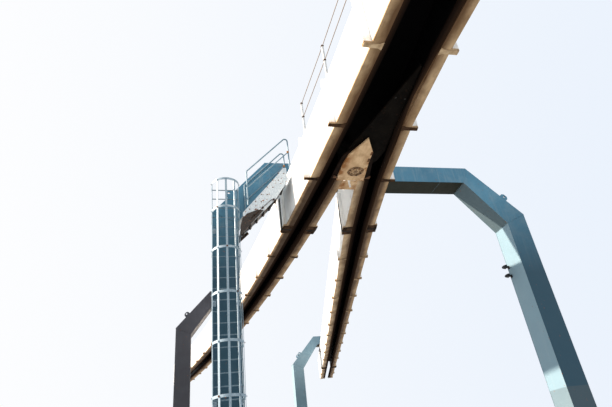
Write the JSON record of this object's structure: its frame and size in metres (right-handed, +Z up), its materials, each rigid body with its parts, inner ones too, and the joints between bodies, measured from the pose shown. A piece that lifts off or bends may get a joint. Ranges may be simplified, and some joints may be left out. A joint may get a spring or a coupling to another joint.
{
  "type": "suspended monorail guideway turnout on portal supports",
  "caption": "Slotted box-girder guideway of a suspended monorail that splits into two branches, on steel portals, with a swinging switch tongue, caged ladder and stair.",
  "frame": {"origin": "floor point under the middle of the main portal's left leg, on the underside of its foot plate", "axes": "+X along the main portal's crossbeam from its left leg to its right leg, +Y along the guideway from the single track to the branches, +Z up"},
  "size_m": [11.6919, 37.6489, 9.9703],
  "materials": {
    "portal_paint": "weathered semi-gloss steel blue",
    "support_paint": "weathered dark blue-grey",
    "girder_paint": "semi-gloss white, rust at the ring edges",
    "flange_paint": "dirty cream, stained and rusted",
    "running_steel": "rusted brown steel",
    "tongue_steel": "dark worn steel",
    "galvanised_steel": "dull galvanised",
    "lamp_plastic": "matt black"
  },
  "bodies": {
    "guideway": {"turnout_left_flange": "flange_paint", "turnout_left_web": "girder_paint", "turnout_left_running_plate": "running_steel", "turnout_right_flange": "flange_paint", "turnout_right_web": "girder_paint", "turnout_right_running_plate": "running_steel", "turnout_roof": "girder_paint", "left_branch_left_flange": "flange_paint", "left_branch_left_web": "girder_paint", "left_branch_left_running_plate": "running_steel", "left_branch_right_flange": "flange_paint", "left_branch_right_web": "girder_paint", "left_branch_right_running_plate": "running_steel", "left_branch_roof": "girder_paint", "right_branch_left_flange": "flange_paint", "right_branch_left_web": "girder_paint", "right_branch_left_running_plate": "running_steel", "right_branch_right_flange": "flange_paint", "right_branch_right_web": "girder_paint", "right_branch_right_running_plate": "running_steel", "right_branch_roof": "girder_paint", "stem_end_frame": "girder_paint", "left_end_frame": "girder_paint", "right_end_frame": "girder_paint", "frog_plate": "flange_paint", "frog_running_plate": "running_steel", "frog_end_plate": "girder_paint", "pivot_bearing": "running_steel", "portal_left_foot_plate": "portal_paint", "portal_left_leg": "portal_paint", "portal_left_knee": "portal_paint", "portal_right_foot_plate": "portal_paint", "portal_right_leg": "portal_paint", "portal_right_knee": "portal_paint", "portal_crossbeam": "portal_paint", "left_support_foot_plate": "support_paint", "left_support_leg": "support_paint", "left_support_knee": "support_paint", "left_support_arm": "support_paint", "right_support_foot_plate": "portal_paint", "right_support_leg": "portal_paint", "right_support_knee": "portal_paint", "right_support_arm": "portal_paint", "portal_left_hanger": "support_paint", "portal_right_hanger": "support_paint", "left_support_hanger": "support_paint", "right_support_hanger": "support_paint", "ladder": "galvanised_steel", "ladder_cage": "galvanised_steel", "stair_flight": "galvanised_steel", "stair_rail_near": "galvanised_steel", "stair_rail_far": "galvanised_steel", "roof_walkway": "galvanised_steel", "safety_rail": "galvanised_steel", "leg_lamp_upper": "lamp_plastic", "leg_lamp_lower": "lamp_plastic"},
    "switch_tongue": {"switch_tongue": "tongue_steel"}
  },
  "joints": [
    {"name": "tongue_swing", "type": "hinge", "parent": "guideway", "child": "switch_tongue", "pos_m": [2.916, -2.838, 7.7353], "axis": [0, 0, 1], "range_deg": [-13.8, 0]}
  ]
}
